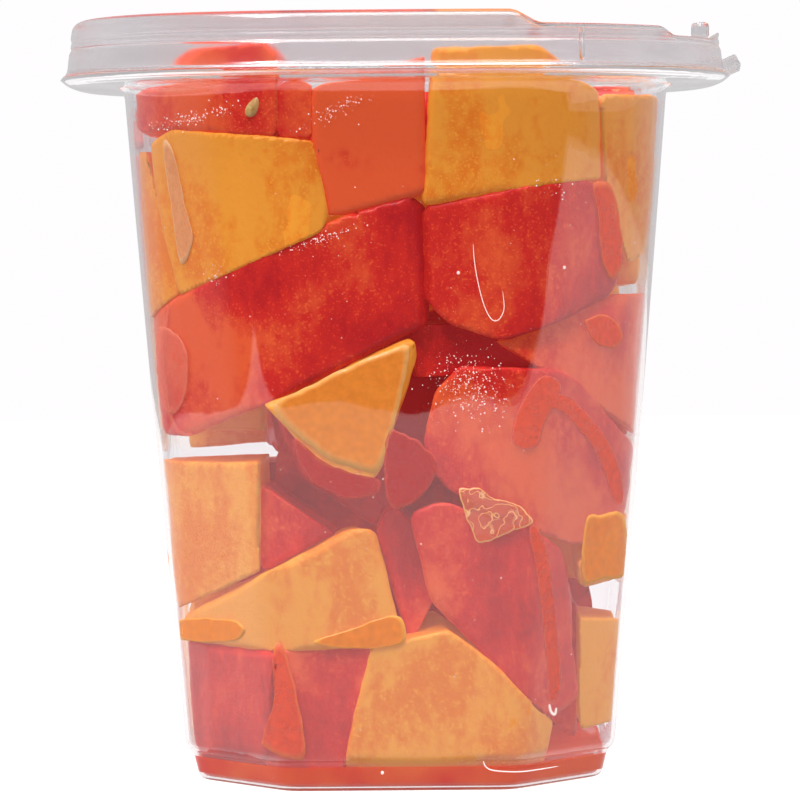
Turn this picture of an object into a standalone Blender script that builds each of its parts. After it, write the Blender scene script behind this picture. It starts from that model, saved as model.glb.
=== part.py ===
"""Clear take-away fruit cup, filled with watermelon and cantaloupe and shut with a locked lid.

The cup is a thin clear shell whose foot is a square with cut corners and whose mouth is a
rounded square with a wide flange. The lid is a shallow clear cap with a raised crown, a lower
deck, a finger ledge and a lock button. A folded strip of the same plastic joins lid and flange.
The fruit is knife-cut: every chunk is a convex block, cut flat wherever it meets a neighbour
or the wall. Units are metres, +Z is up, and the origin is the middle of the foot.
"""
import math
import random

import bmesh
import bpy
from mathutils import Matrix, Vector

MM = 0.001

# Cup, in millimetres
FOOT = (34.6, 0.0)          # half width and height, here and below
FOOT_EDGE = (35.3, 0.7)     # just above the foot
STEP_LOW = (36.2, 4.6)      # under the stacking step
STEP_BEND = (37.1, 5.5)
STEP_HIGH = (37.6, 6.4)     # on top of the stacking step
THROAT = (47.4, 119.2)      # where the wall starts to turn out
MOUTH = (47.3, 120.4)       # where the straight wall would end
MOUTH_OUT = (48.5, 120.4)   # where it has turned out into the flange
FLANGE_FLOOR = (56.4, 120.7)
FLANGE_BEND = (57.5, 120.95)
FLANGE_TIP = (58.6, 121.9)
WALL_LEVELS = (0.85, 0.6, 0.35, 0.12, 0.0)  # shares of the straight wall's height, downwards
CUP_WALL = 0.7
CORNER_CUT = 0.55           # half length of a flat side over the half width
FOOT_SHARPNESS = 60.0       # how crisp the eight edges are at the foot
MOUTH_SHARPNESS = 15.0      # and at the mouth
RIM_POWER = 3.0             # power of the rounded square of flange and lid

# Lid, in millimetres
LID_FOOT = (57.9, 122.5)
LID_WALL_LOW = (57.4, 123.4)
LID_WALL_HIGH = (56.6, 130.0)
LID_TOP = 131.8
LID_EDGE_RADIUS = 1.8
LID_EDGE_STEPS = 4
LEAST_RADIUS = 0.6          # of the hollow's top edge
LID_WALL = 0.6
HOLLOW_DROP = 1.0           # the hollow starts this far below the lid's foot
CROWN_END = 19.5            # x at which the crown starts to slope down
DECK_START = 23.5
DECK_HEIGHT = 129.5
DECK_END = 44.5
DECK_END_HEIGHT = 129.2
LEDGE_START = 46.5
LEDGE_HEIGHT = 127.7
LEDGE_END = 54.4
RIM_START = 55.2
RIM_HEIGHT = 129.1
CUTTER_HALF = 70.0          # the prism over the lower parts reaches past the lid all round
CUTTER_TOP = 132.2

# Hinge strip and lock button, in millimetres
STRIP_HALF_LENGTH = 24.0
STRIP_THICKNESS = 0.5
STRIP_FOLD = (0.7, 0.1)     # from the crease's outside to its inside
STRIP_CREASE = (59.4, 123.6)
STRIP_TOP = (58.5, 125.2)
STRIP_LOW = (59.2, 122.4)
BUTTON_RADIUS = 1.55
BUTTON_SIDES = 16
BUTTON_DOME = 0.7
BUTTON_PLACE = (52.6, -22.0)
BUTTON_FOOT = 128.0
BUTTON_TOP = 130.9

# Juice, in millimetres
JUICE_LEVEL = 3.8
JUICE_GAP = 0.4             # to the cup's wall and floor
JUICE_EDGE = 0.3            # height of its turned-in lower edge

# Fruit, in millimetres
WALL_GAP = 0.6              # from a pressed chunk to the wall
CHUNK_GAP = 0.35            # between two chunks
HALVINGS = 24               # of the angle at which the wall has a wanted x
FLAKE_GAP = 0.1             # from the membrane flake to the wall
FLAKE_THICKNESS = 0.25
FLAKE_CORNERS = [(10.2, 51.8), (14.0, 52.0), (18.8, 49.7), (22.2, 46.4), (14.4, 43.0)]
FRUIT_FLOOR = 4.2
FRONT_CEILING = 126.0       # the front chunks rise into the lid
BACK_CEILING = 119.5
PRESSED_SIDES = 24          # flats that stand for the wall the chunks are pressed against
OVERSHOOT = 6.0             # a pressed chunk starts this far outside the wall and is cut by it
KNIFE_EDGE = 0.7            # softened width of a cut edge
KNIFE_EDGE_FROM = 20.0      # degrees between two faces from which their edge is softened
SMALLEST_EDGE = 0.5
SMALLEST_FACET = 0.1        # corners of the softened edges closer than this are joined
SMALLEST_CHUNK = 900.0      # cubic millimetres

CLEAR = (0.86, 0.85, 0.86, 1.0)
RED = (0.72, 0.07, 0.04, 1.0)
ORANGE = (0.85, 0.38, 0.08, 1.0)
JUICE_RED = (0.70, 0.08, 0.03, 1.0)
PITH = (0.90, 0.55, 0.25, 1.0)


# ---------------------------------------------------------------- scene, materials, collections
def empty_scene():
    for item in list(bpy.data.objects):
        bpy.data.objects.remove(item, do_unlink=True)


def new_collection(name):
    group = bpy.data.collections.new(name)
    bpy.context.scene.collection.children.link(group)
    return group


def new_material(name, colour, roughness, clear=0.0):
    material = bpy.data.materials.new(name)
    material.use_nodes = True
    shader = material.node_tree.nodes["Principled BSDF"]
    shader.inputs["Base Color"].default_value = colour
    shader.inputs["Roughness"].default_value = roughness
    shader.inputs["Metallic"].default_value = 0.0
    shader.inputs["Transmission Weight"].default_value = clear
    return material


def new_object(name, mesh, material, group):
    item = bpy.data.objects.new(name, mesh)
    group.objects.link(item)
    mesh.materials.append(material)
    return item


def mesh_from(work, name):
    mesh = bpy.data.meshes.new(name)
    work.to_mesh(mesh)
    work.free()
    return mesh


# ---------------------------------------------------------------- plan outlines
def cut_square_radius(angle, half_width, sharpness):
    """Radius of a square with cut corners; a low sharpness rounds its eight edges."""
    cut_distance = half_width * (1.0 + CORNER_CUT) / math.sqrt(2.0)
    total = 0.0
    for side in range(8):
        reach = half_width if side % 2 == 0 else cut_distance
        facing = math.cos(angle - side * math.pi / 4)
        total += (max(facing, 0.0) / reach) ** sharpness
    return total ** (-1.0 / sharpness)


def rounded_square_radius(angle, half_width):
    total = abs(math.cos(angle)) ** RIM_POWER + abs(math.sin(angle)) ** RIM_POWER
    return half_width * total ** (-1.0 / RIM_POWER)


def plan_angles():
    """Directions round the cup, closer together at the eight edges and mirror-true."""
    edge = math.degrees(math.atan(CORNER_CUT))
    eighth = [0.0, 0.37 * edge, 0.72 * edge, edge - 3.0, edge, edge + 3.0, 38.0, 45.0]
    quarter = eighth + [90.0 - angle for angle in reversed(eighth[1:-1])]
    return [math.radians(angle + 90.0 * turn) for turn in range(4) for angle in quarter]


ANGLES = plan_angles()


def cup_ring(half_width, height, sharpness, roundness):
    """One level of the cup: the cut square, turned into the rounded square by roundness."""
    ring = []
    for angle in ANGLES:
        cut = cut_square_radius(angle, half_width, sharpness)
        radius = cut + (rounded_square_radius(angle, half_width) - cut) * roundness
        ring.append((radius * math.cos(angle) * MM, radius * math.sin(angle) * MM, height * MM))
    return ring


def loft(rings, close_last):
    """Open skin through the rings; close_last fans the last ring to its middle."""
    work = bmesh.new()
    rows = [[work.verts.new(point) for point in ring] for ring in rings]
    count = len(ANGLES)
    for upper, lower in zip(rows, rows[1:]):
        for index in range(count):
            following = (index + 1) % count
            work.faces.new((upper[index], lower[index], lower[following], upper[following]))
    if close_last:
        middle = work.verts.new((0.0, 0.0, rows[-1][0].co.z))
        for index in range(count):
            work.faces.new((rows[-1][index], middle, rows[-1][(index + 1) % count]))
    return work


# ---------------------------------------------------------------- cup
def wall_half_width(height):
    share = (height - STEP_HIGH[1]) / (MOUTH[1] - STEP_HIGH[1])
    return STEP_HIGH[0] + (MOUTH[0] - STEP_HIGH[0]) * share


def wall_sharpness(height):
    share = max(0.0, min(1.0, (height - STEP_HIGH[1]) / (MOUTH[1] - STEP_HIGH[1])))
    return FOOT_SHARPNESS * (MOUTH_SHARPNESS / FOOT_SHARPNESS) ** share


def build_cup(material, group):
    levels = [(*FLANGE_TIP, MOUTH_SHARPNESS, 1.0), (*FLANGE_BEND, MOUTH_SHARPNESS, 1.0),
              (*FLANGE_FLOOR, MOUTH_SHARPNESS, 1.0), (*MOUTH_OUT, MOUTH_SHARPNESS, 0.4),
              (*THROAT, MOUTH_SHARPNESS, 0.1)]
    for share in WALL_LEVELS:
        height = STEP_HIGH[1] + (MOUTH[1] - STEP_HIGH[1]) * share
        levels.append((wall_half_width(height), height, wall_sharpness(height), 0.0))
    levels += [(*place, FOOT_SHARPNESS, 0.0) for place in (STEP_BEND, STEP_LOW, FOOT_EDGE, FOOT)]
    skin = loft([cup_ring(*level) for level in levels], close_last=True)
    cup = new_object("cup", mesh_from(skin, "cup"), material, group)
    wall = cup.modifiers.new("wall", "SOLIDIFY")
    wall.thickness = CUP_WALL * MM
    wall.offset = -1.0
    wall.use_even_offset = True
    return cup


# ---------------------------------------------------------------- lid
def lid_block(inset, name, group):
    """Solid block in the lid's outer form, drawn in by inset on its walls and top."""
    radius = max(LID_EDGE_RADIUS - inset, LEAST_RADIUS)
    top = LID_TOP - inset
    rings = [(LID_FOOT[0] - inset, LID_FOOT[1] - (HOLLOW_DROP if inset else 0.0)),
             (LID_WALL_LOW[0] - inset, LID_WALL_LOW[1])]
    for step in range(LID_EDGE_STEPS):
        turn = math.pi / 2 * step / (LID_EDGE_STEPS - 1)
        rings.append((LID_WALL_HIGH[0] - inset - radius * (1.0 - math.cos(turn)),
                      top - radius * (1.0 - math.sin(turn))))
    work = loft([cup_ring(half, height, MOUTH_SHARPNESS, 1.0) for half, height in reversed(rings)],
                close_last=False)
    bmesh.ops.holes_fill(work, edges=[edge for edge in work.edges if edge.is_boundary])
    bmesh.ops.recalc_face_normals(work, faces=work.faces)
    block = bpy.data.objects.new(name, mesh_from(work, name))
    group.objects.link(block)
    return block


def deck_cutter(drop, name, group):
    """Prism above the lid's lower parts: crown slope, deck, finger ledge and outer rim."""
    profile = [(CROWN_END, CUTTER_TOP), (CROWN_END, LID_TOP), (DECK_START, DECK_HEIGHT),
               (DECK_END, DECK_END_HEIGHT), (LEDGE_START, LEDGE_HEIGHT),
               (LEDGE_END, LEDGE_HEIGHT), (RIM_START, RIM_HEIGHT), (CUTTER_HALF, RIM_HEIGHT),
               (CUTTER_HALF, CUTTER_TOP)]
    work = bmesh.new()
    face = work.faces.new([work.verts.new((x * MM, -CUTTER_HALF * MM, (z - drop) * MM))
                           for x, z in profile])
    grown = bmesh.ops.extrude_face_region(work, geom=[face])
    moved = [item for item in grown["geom"] if isinstance(item, bmesh.types.BMVert)]
    bmesh.ops.translate(work, verts=moved, vec=(0.0, 2.0 * CUTTER_HALF * MM, 0.0))
    bmesh.ops.recalc_face_normals(work, faces=work.faces)
    cutter = bpy.data.objects.new(name, mesh_from(work, name))
    group.objects.link(cutter)
    return cutter


def cut_away(target, cutter):
    cutter.hide_render = True
    cutter.display_type = "WIRE"
    cut = target.modifiers.new("cut " + cutter.name, "BOOLEAN")
    cut.operation = "DIFFERENCE"
    cut.object = cutter


def build_lid(material, group, cutters):
    lid = lid_block(0.0, "lid", group)
    lid.data.materials.append(material)
    hollow = lid_block(LID_WALL, "lid_hollow", cutters)
    cut_away(lid, deck_cutter(0.0, "deck_space", cutters))
    cut_away(hollow, deck_cutter(LID_WALL, "deck_space_below", cutters))
    cut_away(lid, hollow)
    return lid


def build_strip(material, group):
    """Folded strip between lid and flange: a V in section, swept along the hinge side."""
    crease, top, low = Vector(STRIP_CREASE), Vector(STRIP_TOP), Vector(STRIP_LOW)
    outer = [top, crease, low]
    inner = [low - Vector((STRIP_THICKNESS, 0.0)), crease - Vector(STRIP_FOLD),
             top - Vector((STRIP_THICKNESS, 0.0))]
    curve = bpy.data.curves.new("hinge_strip", "CURVE")
    curve.dimensions = "2D"
    curve.fill_mode = "BOTH"
    curve.extrude = STRIP_HALF_LENGTH * MM
    line = curve.splines.new("POLY")
    line.points.add(5)
    for point, place in zip(line.points, outer + inner):
        point.co = (place.x * MM, place.y * MM, 0.0, 1.0)
    line.use_cyclic_u = True
    strip = bpy.data.objects.new("hinge_strip", curve)
    strip.rotation_euler = (math.radians(90.0), 0.0, 0.0)
    curve.materials.append(material)
    group.objects.link(strip)
    return strip


def build_button(material, group):
    """Lock button: a short domed post that stands on the lid's finger ledge."""
    bpy.ops.mesh.primitive_cylinder_add(vertices=BUTTON_SIDES, radius=BUTTON_RADIUS * MM,
                                        depth=(BUTTON_TOP - BUTTON_FOOT) * MM)
    button = bpy.context.object
    button.name = "lock_button"
    button.location = (BUTTON_PLACE[0] * MM, BUTTON_PLACE[1] * MM,
                       (BUTTON_FOOT + BUTTON_TOP) / 2 * MM)
    button.data.materials.append(material)
    dome = button.modifiers.new("dome", "BEVEL")
    dome.width = BUTTON_DOME * MM
    dome.segments = 2
    dome.limit_method = "ANGLE"
    for old in list(button.users_collection):
        old.objects.unlink(button)
    group.objects.link(button)
    return button


def build_juice(material, group):
    """Shallow pool of juice on the cup's floor, below the lowest chunks."""
    inset = CUP_WALL + JUICE_GAP
    levels = [(STEP_LOW[0] - inset, JUICE_LEVEL, FOOT_SHARPNESS, 0.0),
              (FOOT_EDGE[0] - inset, inset + JUICE_EDGE, FOOT_SHARPNESS, 0.0),
              (FOOT[0] - inset, inset, FOOT_SHARPNESS, 0.0)]
    work = loft([cup_ring(*level) for level in levels], close_last=False)
    bmesh.ops.holes_fill(work, edges=[edge for edge in work.edges if edge.is_boundary])
    bmesh.ops.recalc_face_normals(work, faces=work.faces)
    return new_object("juice", mesh_from(work, "juice"), material, group)


# ---------------------------------------------------------------- fruit
def wall_planes():
    """Planes just inside the cup's wall, step and floor, as pairs of point and outward normal."""
    planes = []
    low, high = STEP_HIGH[1], MOUTH[1]
    for side in range(PRESSED_SIDES):
        turn = 2.0 * math.pi * side / PRESSED_SIDES
        facing = Vector((math.cos(turn), math.sin(turn)))
        reach = []
        for height in (low, high):
            ring = cup_ring(wall_half_width(height), height, wall_sharpness(height), 0.0)
            reach.append(max(Vector(point[:2]).dot(facing) for point in ring) / MM)
        slope = (reach[1] - reach[0]) / (high - low)
        normal = Vector((facing.x, facing.y, -slope)).normalized()
        distance = reach[0] - CUP_WALL - WALL_GAP
        planes.append((Vector((facing.x * distance, facing.y * distance, low)) * MM, normal))
        under = Vector((facing.x, facing.y, -1.0)).normalized()
        planes.append((Vector((facing.x * distance, facing.y * distance, low)) * MM, under))
    planes.append((Vector((0.0, 0.0, FRUIT_FLOOR)) * MM, Vector((0.0, 0.0, -1.0))))
    return planes


def slice_off(work, point, normal):
    """Knife cut: removes what lies beyond the plane and closes the cut face."""
    bmesh.ops.bisect_plane(work, geom=work.verts[:] + work.edges[:] + work.faces[:],
                           dist=1e-7, plane_co=point, plane_no=normal, clear_outer=True)
    open_edges = [edge for edge in work.edges if edge.is_boundary]
    if open_edges:
        bmesh.ops.holes_fill(work, edges=open_edges)


def hull_of(points):
    work = bmesh.new()
    for point in points:
        work.verts.new(point)
    made = bmesh.ops.convex_hull(work, input=work.verts[:])
    loose = [item for item in made["geom_interior"] if isinstance(item, bmesh.types.BMVert)]
    bmesh.ops.delete(work, geom=loose, context="VERTS")
    bmesh.ops.dissolve_limit(work, angle_limit=math.radians(0.5), verts=work.verts[:],
                             edges=work.edges[:])
    return work


def face_planes(work):
    work.normal_update()
    return [(face.calc_center_median(), face.normal.copy()) for face in work.faces]


def volume_of(work):
    return work.calc_volume() / MM ** 3 if work.faces else 0.0


def meets(work, planes, slack):
    """True when the block reaches into the space that all the planes bound."""
    trial = work.copy()
    for point, normal in planes:
        slice_off(trial, point + normal * slack, normal)
        if not trial.faces:
            break
    left = volume_of(trial)
    trial.free()
    return left > 0.01


def trim_to_neighbour(work, planes):
    """Cuts the block flat along the neighbour's face that leaves most of it."""
    best, most = None, -1.0
    for point, normal in planes:
        trial = work.copy()
        slice_off(trial, point + normal * CHUNK_GAP * MM, -normal)
        left = volume_of(trial)
        trial.free()
        if left > most:
            best, most = (point, normal), left
    point, normal = best
    slice_off(work, point + normal * CHUNK_GAP * MM, -normal)


# Chunks seen at the front, nearest first: name, the corners of the cut face that looks out
# (x and z in millimetres), its distance behind the wall, the block's depth and its taper.
FRONT_CHUNKS = [
    ("cantaloupe_wedge", [(-22.5, 66.5), (2.5, 77.5), (3, 75), (-3, 55), (-5, 54), (-14, 57)],
     0.0, 11.0, 0.92),
    ("watermelon_right_upper", [(4.5, 100), (17, 100.5), (32, 104), (36, 102), (39, 90),
                                (36.5, 84), (17, 76.5), (8, 80), (5, 87)], 0.0, 26.0, 0.85),
    ("cantaloupe_top_right", [(6, 126), (24, 126), (34, 119), (34.5, 103.5), (18, 100.5),
                              (4.5, 100)], 0.0, 27.0, 0.92),
    ("watermelon_right", [(8, 71), (27, 70.5), (35, 65), (42, 57), (39.5, 46), (34.5, 41.5),
                          (29, 42), (7, 52.5), (5, 60)], 0.0, 27.0, 0.85),
    ("watermelon_long", [(-46, 79), (-36, 85), (-8, 98), (3.5, 101.5), (4, 79.5), (-22, 68),
                         (-35.5, 60.5), (-45, 60.5)], 0.0, 27.0, 0.95),
    ("cantaloupe_left_lower", [(-37.5, 29), (-8, 45.5), (-4, 45), (1, 26), (-4, 25),
                               (-38.5, 24.7)], 0.0, 24.5, 0.85),
    ("cantaloupe_foot", [(-2, 35.5), (16, 21.5), (26, 11), (25, 4), (-9.5, 4), (-5, 24.4),
                         (-3.5, 25)], 0.0, 24.0, 0.9),
    ("watermelon_right_lower", [(1.5, 48), (7, 50), (22, 45), (28, 41), (31, 14), (26, 11.5),
                                (16, 21.5), (5, 33)], 0.0, 24.0, 0.85),
    ("cantaloupe_top_left", [(-41.5, 110.5), (-38, 112.7), (-13.5, 110.5), (-11.5, 98),
                             (-13, 95.3), (-36.5, 85), (-40, 98)], 0.0, 26.0, 0.9),
    ("watermelon_centre_low", [(-22.5, 67), (-6, 66), (7, 55.5), (5.5, 51), (-4, 44.5),
                               (-17, 53.5)], 2.0, 24.0, 0.85),
    ("watermelon_foot_left", [(-38, 24.2), (-21.2, 24.2), (-21, 22), (-23, 4), (-38, 4)],
     0.0, 26.0, 0.92),
    ("watermelon_foot", [(-20.8, 24.2), (-5, 24.2), (-10, 4), (-22.6, 4)], 0.6, 24.0, 0.92),
    ("watermelon_top", [(-13.8, 121), (-12, 122), (5, 126), (5, 102), (-7, 98.5),
                        (-12, 98), (-13.5, 110)], 0.0, 25.0, 0.9),
    ("watermelon_top_middle", [(-19.4, 120), (-14.2, 120.5), (-14.2, 111.4), (-19.4, 111.8)],
     0.4, 25.0, 0.95),
    ("watermelon_top_left", [(-44, 118), (-34, 125), (-16, 126), (-20, 111), (-38, 113),
                             (-44, 110)], 0.0, 27.0, 0.95),
    ("cantaloupe_right_upper", [(34.5, 118), (45, 118.5), (45, 108), (42, 91), (39.5, 90),
                                (35.5, 103)], 0.0, 23.0, 0.95),
    ("watermelon_right_middle", [(16.5, 77), (37, 84), (45, 84), (44, 58), (35, 65), (21, 72),
                                 (17.5, 74)], 0.6, 26.0, 0.95),
    ("watermelon_heart", [(1, 78.5), (17, 78), (21, 72.5), (8, 71.3), (0, 71)], 4.0, 22.0, 0.95),
    ("watermelon_heart_low", [(-6, 73), (7.5, 71), (4.5, 60), (6, 54), (-5, 60)],
     11.5, 18.0, 0.95),
    ("watermelon_middle", [(-4.5, 49), (1, 47), (4.6, 33), (1.5, 27), (-3, 43)],
     5.0, 22.0, 0.95),
    ("cantaloupe_left", [(-43, 56.8), (-23.5, 57.5), (-23.5, 38.3), (-38, 30.5), (-42, 30.5)],
     0.0, 26.0, 0.95),
    ("watermelon_left_low", [(-23, 56), (-8, 46), (-23, 38)], 2.5, 22.0, 1.0),
    ("cantaloupe_left_sliver", [(-43.5, 109), (-40, 109), (-36, 86), (-43, 81)], 0.6, 22.0, 1.0),
    ("cantaloupe_right_low", [(30, 43), (41, 46), (41, 35), (31, 33)], 0.0, 24.0, 0.95),
    ("cantaloupe_foot_right", [(31, 30.5), (37.5, 29.5), (37, 10), (31, 9.5)], 1.0, 24.0, 0.95),
]

# Chunks round the sides and the back, level by level from the floor up.
BACK_LEVELS = 5
BACK_ANGLES = (42.0, 90.0, 138.0)
BACK_TURN = (24.0, 9.0, 10.0)   # how far they may lean each way, in degrees
BACK_SWING = 6.0            # and how far round the cup they may slip
BACK_STAGGER = (-8.0, 12.0)     # every other level is turned against the one below
BACK_OUT = 3.5              # how far they start beyond the wall that cuts them
BACK_WIDTH = (28.0, 36.0)
BACK_DEPTH = (23.0, 29.0)
BACK_OVERLAP = (3.0, 9.0)   # they start this much taller than their level
BACK_RISE = 4.0
SLIT_LEVELS = 4
SLIT_PITCH = 26.5
SLIT_ANGLES = (-12.0, 192.0)
SLIT = 3.4                  # air between the chunks stacked at the two sides
SLIT_TURN = (2.0, 4.0, 8.0)
SLIT_SWING = 4.0
SLIT_START = 4.7            # height of the lowest one's under side, less half a slit
SIDE_DEPTH = 24.0
SIDE_WIDTH = 42.0
SIDE_OUT = 4.0
CORE_SIZE = (40.0, 24.0, 27.0)
CORE_GROWTH = 6.0
CORE_TURN = 18.0
CORE_SHIFT = 3.0
CORE_BACK = 6.0             # how far in front of the axis a core chunk may lie
PACKING_SEED = 14


def wall_depth(x, z, gap=WALL_GAP):
    """How far in front of the axis the wall's inside lies at this x and z, less a gap."""
    half, sharpness = wall_half_width(z) - CUP_WALL - gap, wall_sharpness(z)
    low, high = 0.0, math.pi / 2
    for halving in range(HALVINGS):
        middle = (low + high) / 2
        if cut_square_radius(middle, half, sharpness) * math.cos(middle) > abs(x):
            low = middle
        else:
            high = middle
    return cut_square_radius(low, half, sharpness) * math.sin(low)


def front_block(corners, set_back, depth, taper):
    """Block from its front outline: the outline pushed to the wall, and a smaller one behind."""
    overshoot = 0.0 if set_back else OVERSHOOT
    centre_x = sum(x for x, z in corners) / len(corners)
    centre_z = sum(z for x, z in corners) / len(corners)
    points = []
    for x, z in corners:
        front = set_back - max(wall_depth(x, z), CORNER_CUT * wall_half_width(z))
        back = -wall_depth(centre_x, centre_z) + set_back + depth
        points.append(Vector((x, front - overshoot, z)) * MM)
        behind_x = centre_x + (x - centre_x) * taper
        behind_z = centre_z + (z - centre_z) * taper
        points.append(Vector((behind_x, back, behind_z)) * MM)
    return hull_of(points)


def turned_block(centre, size, turns):
    """Cube-like block of the given size, turned by three angles in degrees."""
    work = bmesh.new()
    bmesh.ops.create_cube(work, size=1.0)
    bmesh.ops.scale(work, vec=[side * MM for side in size], verts=work.verts)
    for turn, axis in zip(turns, "XYZ"):
        bmesh.ops.rotate(work, cent=(0, 0, 0), verts=work.verts,
                         matrix=Matrix.Rotation(math.radians(turn), 3, axis))
    bmesh.ops.translate(work, vec=Vector(centre) * MM, verts=work.verts)
    return work


def hidden_blocks():
    """Blocks behind the front ones: the core, stacks with air slits at the sides, the back."""
    dice = random.Random(PACKING_SEED)

    def either_way(most):
        return dice.uniform(-most, most)

    pitch = (BACK_CEILING - FRUIT_FLOOR) / BACK_LEVELS
    for level in range(BACK_LEVELS):
        turns = [either_way(CORE_TURN) for axis in range(3)]
        centre = (either_way(CORE_SHIFT), dice.uniform(-CORE_BACK, 0.0),
                  FRUIT_FLOOR + pitch * (level + 0.5) + CORE_SHIFT)
        size = (CORE_SIZE[0] + dice.uniform(0.0, CORE_GROWTH), CORE_SIZE[1], CORE_SIZE[2])
        kind = "cantaloupe" if level == 3 else "watermelon"
        yield f"{kind}_core_{level + 1}", turned_block(centre, size, turns)
    for level in range(SLIT_LEVELS):
        height = SLIT_START + SLIT_PITCH * (level + 0.5)
        for place, angle in enumerate(SLIT_ANGLES):
            reach = wall_half_width(height) - SIDE_DEPTH / 2 + SIDE_OUT
            turn = angle + either_way(SLIT_SWING)
            centre = (reach * math.cos(math.radians(turn)), 0.0, height)
            size = (SIDE_DEPTH, SIDE_WIDTH, SLIT_PITCH - SLIT)
            turns = [either_way(most) for most in SLIT_TURN]
            kind = "cantaloupe" if (level + place) % 2 else "watermelon"
            yield f"{kind}_side_{level + 1}{place + 1}", turned_block(centre, size, turns)
    for level in range(BACK_LEVELS):
        height = FRUIT_FLOOR + pitch * (level + 0.5)
        for place, angle in enumerate(BACK_ANGLES):
            turn = angle + BACK_STAGGER[level % 2] + either_way(BACK_SWING)
            reach = wall_half_width(height) - SIDE_DEPTH / 2 + BACK_OUT
            centre = (reach * math.cos(math.radians(turn)), reach * math.sin(math.radians(turn)),
                      height + either_way(BACK_RISE))
            size = (dice.uniform(*BACK_DEPTH), dice.uniform(*BACK_WIDTH),
                    pitch + dice.uniform(*BACK_OVERLAP))
            turns = (either_way(BACK_TURN[0]), either_way(BACK_TURN[1]),
                     turn + either_way(BACK_TURN[2]))
            kind = "cantaloupe" if (level * 2 + place) % 5 in (1, 4) else "watermelon"
            yield f"{kind}_back_{level + 1}{place + 1}", turned_block(centre, size, turns)


def all_blocks():
    for name, corners, set_back, depth, taper in FRONT_CHUNKS:
        yield name, front_block(corners, set_back, depth, taper), FRONT_CEILING
    for name, work in hidden_blocks():
        yield name, work, BACK_CEILING


def build_fruit(materials, group, flake_planes):
    walls = wall_planes()
    placed = [flake_planes]
    for name, work, ceiling in all_blocks():
        top = (Vector((0.0, 0.0, ceiling)) * MM, Vector((0.0, 0.0, 1.0)))
        for point, normal in walls + [top]:
            slice_off(work, point, normal)
        for neighbour in placed:
            if work.faces and meets(work, neighbour, CHUNK_GAP * MM):
                trim_to_neighbour(work, neighbour)
        if volume_of(work) < SMALLEST_CHUNK:
            work.free()
            continue
        chunk = hull_of([vert.co.copy() for vert in work.verts])
        work.free()
        bmesh.ops.remove_doubles(chunk, verts=chunk.verts, dist=SMALLEST_EDGE * MM)
        chunk = hull_of([vert.co.copy() for vert in chunk.verts])
        placed.append(face_planes(chunk))
        kind = name.split("_")[0]
        item = new_object(name, mesh_from(chunk, name), materials[kind], group)
        edge = item.modifiers.new("knife edge", "BEVEL")
        edge.width = KNIFE_EDGE * MM
        edge.segments = 1
        edge.limit_method = "ANGLE"
        edge.angle_limit = math.radians(KNIFE_EDGE_FROM)
        joined = item.modifiers.new("join small corners", "WELD")
        joined.merge_threshold = SMALLEST_FACET * MM


def build_flake(material, group):
    """Bit of melon membrane stuck to the inside of the front wall; gives back its planes."""
    points = []
    for x, z in FLAKE_CORNERS:
        for gap in (FLAKE_GAP, FLAKE_GAP + FLAKE_THICKNESS):
            points.append(Vector((x, -wall_depth(x, z, gap), z)) * MM)
    work = hull_of(points)
    planes = face_planes(work)
    new_object("membrane_flake", mesh_from(work, "membrane_flake"), material, group)
    return planes


empty_scene()
PARTS = new_collection("fruit_cup")
CUTTERS = new_collection("cutters")
PLASTIC = new_material("clear_plastic", CLEAR, 0.08, clear=0.9)
FRUITS = {"watermelon": new_material("watermelon", RED, 0.3),
          "cantaloupe": new_material("cantaloupe", ORANGE, 0.35)}
build_cup(PLASTIC, PARTS)
build_lid(PLASTIC, PARTS, CUTTERS)
build_strip(PLASTIC, PARTS)
build_button(PLASTIC, PARTS)
build_juice(new_material("juice", JUICE_RED, 0.05), PARTS)
FLAKE_PLANES = build_flake(new_material("membrane", PITH, 0.4), PARTS)
build_fruit(FRUITS, PARTS, FLAKE_PLANES)
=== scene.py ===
import math

import bpy
import numpy as np
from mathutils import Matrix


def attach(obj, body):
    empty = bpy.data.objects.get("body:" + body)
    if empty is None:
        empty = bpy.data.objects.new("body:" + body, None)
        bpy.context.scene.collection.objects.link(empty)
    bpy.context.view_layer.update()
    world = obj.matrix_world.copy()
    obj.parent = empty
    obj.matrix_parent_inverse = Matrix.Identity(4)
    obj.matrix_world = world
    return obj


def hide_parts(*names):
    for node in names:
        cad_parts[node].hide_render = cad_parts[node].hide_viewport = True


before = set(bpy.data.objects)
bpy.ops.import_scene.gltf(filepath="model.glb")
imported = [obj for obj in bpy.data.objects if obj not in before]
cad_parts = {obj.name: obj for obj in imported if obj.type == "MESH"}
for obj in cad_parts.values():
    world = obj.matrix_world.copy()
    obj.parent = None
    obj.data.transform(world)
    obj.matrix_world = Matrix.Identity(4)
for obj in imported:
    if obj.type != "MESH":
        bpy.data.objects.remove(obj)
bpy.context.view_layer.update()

MM = 0.001


# ------------------------------------------------------------------ camera
# The viewpoint: a long lens nearly level with the upper third of the cup, square to its
# front, so that the walls show edge-on and the lid is seen from just below.
CAMERA_PLACE = (0.0004, -0.696, 0.0977)
CAMERA_LENS = 175.5
CAMERA_DIP = 2.68           # degrees it looks down
CAMERA_ROLL = -0.45

lens = bpy.data.cameras.new("camera")
lens.lens = CAMERA_LENS
lens.sensor_width = 36.0


def new_object(name, data):
    """Object with this data, linked into the scene."""
    thing = bpy.data.objects.new(name, data)
    bpy.context.scene.collection.objects.link(thing)
    return thing


camera = new_object("camera", lens)
camera.location = CAMERA_PLACE
camera.rotation_euler = (math.radians(90.0 - CAMERA_DIP), 0.0, 0.0)
camera.rotation_mode = "QUATERNION"
dip = camera.rotation_euler.to_quaternion()
bpy.context.scene.camera = camera


def turned(roll):
    """The camera's turn: its dip, then a small roll about its own line of sight."""
    half = math.radians(roll) / 2.0
    return dip @ type(dip)((math.cos(half), 0.0, 0.0, math.sin(half)))


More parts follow.
